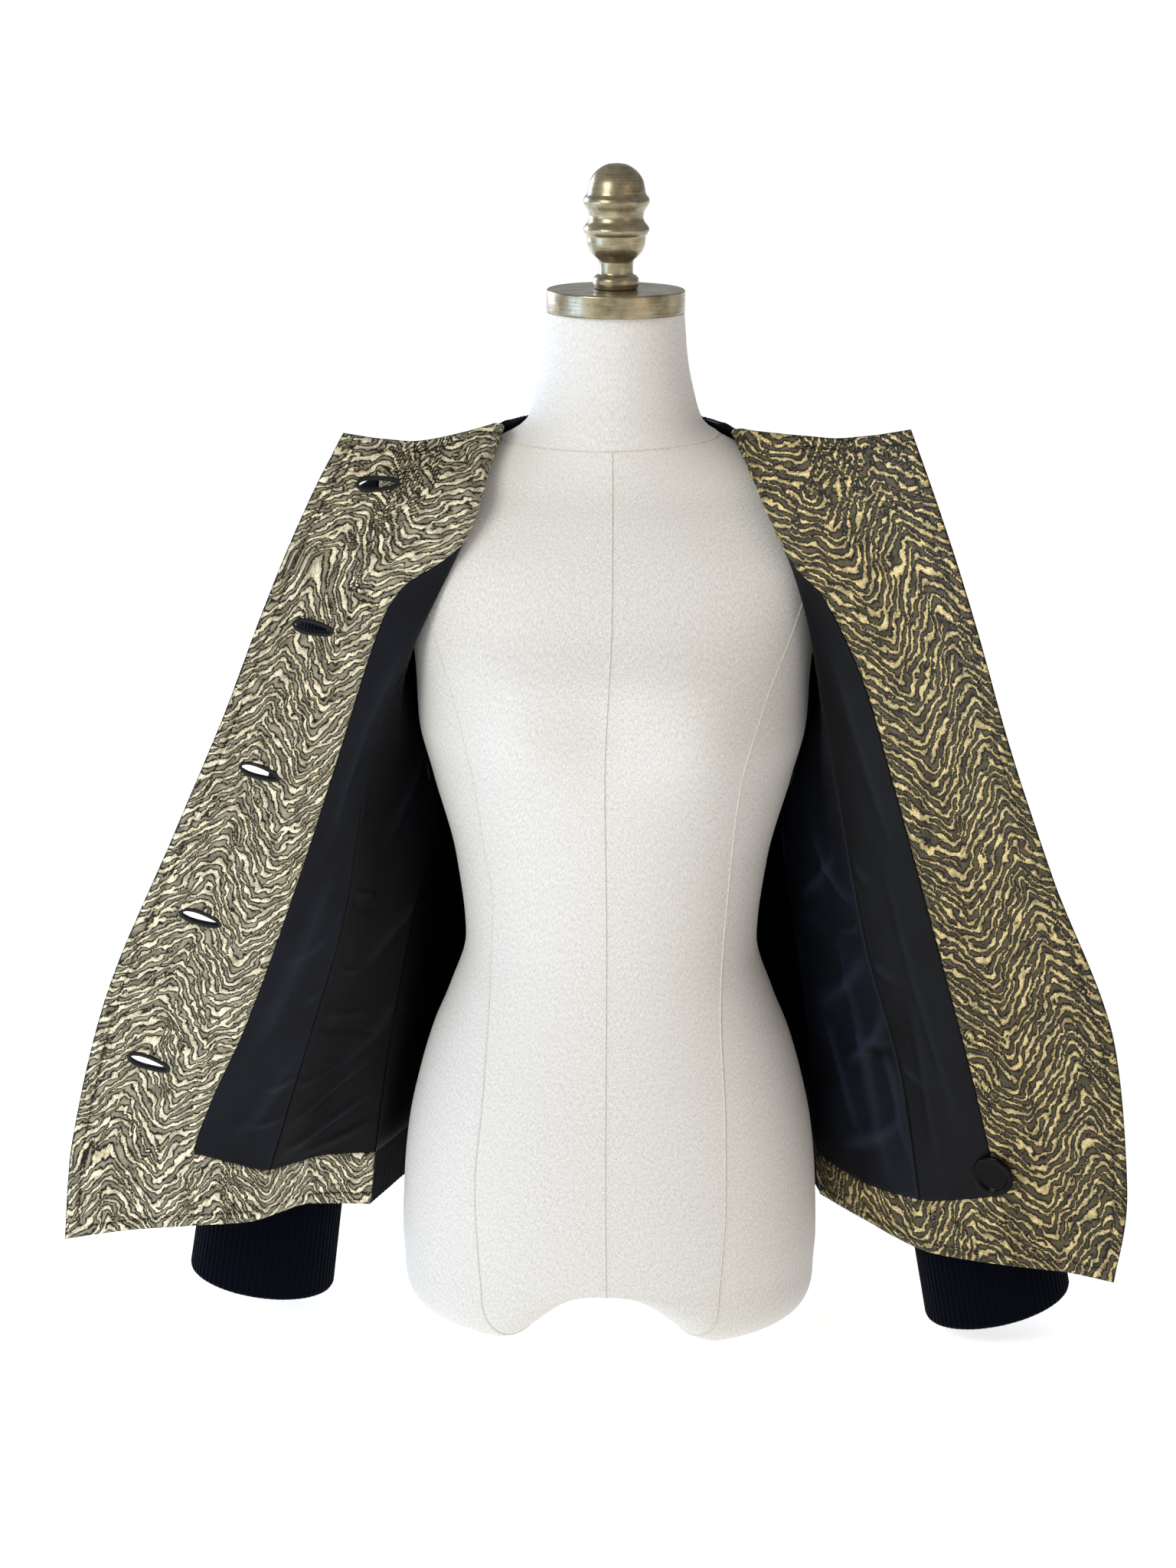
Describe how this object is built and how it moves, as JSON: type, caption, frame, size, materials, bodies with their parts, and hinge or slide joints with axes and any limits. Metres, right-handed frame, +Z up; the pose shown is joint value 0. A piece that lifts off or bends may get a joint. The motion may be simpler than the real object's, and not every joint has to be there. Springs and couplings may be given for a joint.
{
  "type": "open collarless jacket on a limbless dress form",
  "caption": "Collarless hip-length jacket of puckered jacquard and rib knit, hung with both fronts swung wide open on a limbless linen dress form.",
  "frame": {"origin": "on the floor, under the middle of the whole part's box, which is 10.5 mm beside the middle of the dress form", "axes": "+Z up, the form's front faces -Y, +X is the viewer's right and the wearer's left"},
  "size_m": [0.8079, 0.291, 0.9136],
  "materials": {
    "linen": "ivory linen, matt",
    "old_brass": "aged, brushed",
    "jacquard": "puckered gold and black jacquard",
    "satin": "black lining, slight sheen",
    "rib_knit": "black rib knit, matt",
    "black_horn": "polished black",
    "binding": "black cord binding"
  },
  "bodies": {
    "root": {"back": "rib_knit", "back_lining": "satin", "button_1": "black_horn", "button_2": "black_horn", "button_3": "black_horn", "button_4": "black_horn", "button_5": "black_horn", "buttonhole_1": "binding", "buttonhole_2": "binding", "buttonhole_3": "binding", "buttonhole_4": "binding", "buttonhole_5": "binding", "dress_form": "linen", "facing_left": "jacquard", "facing_right": "jacquard", "finial": "old_brass", "front_left": "jacquard", "front_lining_left": "satin", "front_lining_right": "satin", "front_right": "jacquard", "hem_facing_left": "jacquard", "hem_facing_right": "jacquard", "neck_cap": "old_brass", "side_lining_left": "satin", "side_lining_right": "satin", "sleeve_left": "rib_knit", "sleeve_right": "rib_knit", "spare_button": "black_horn"}
  },
  "joints": []
}
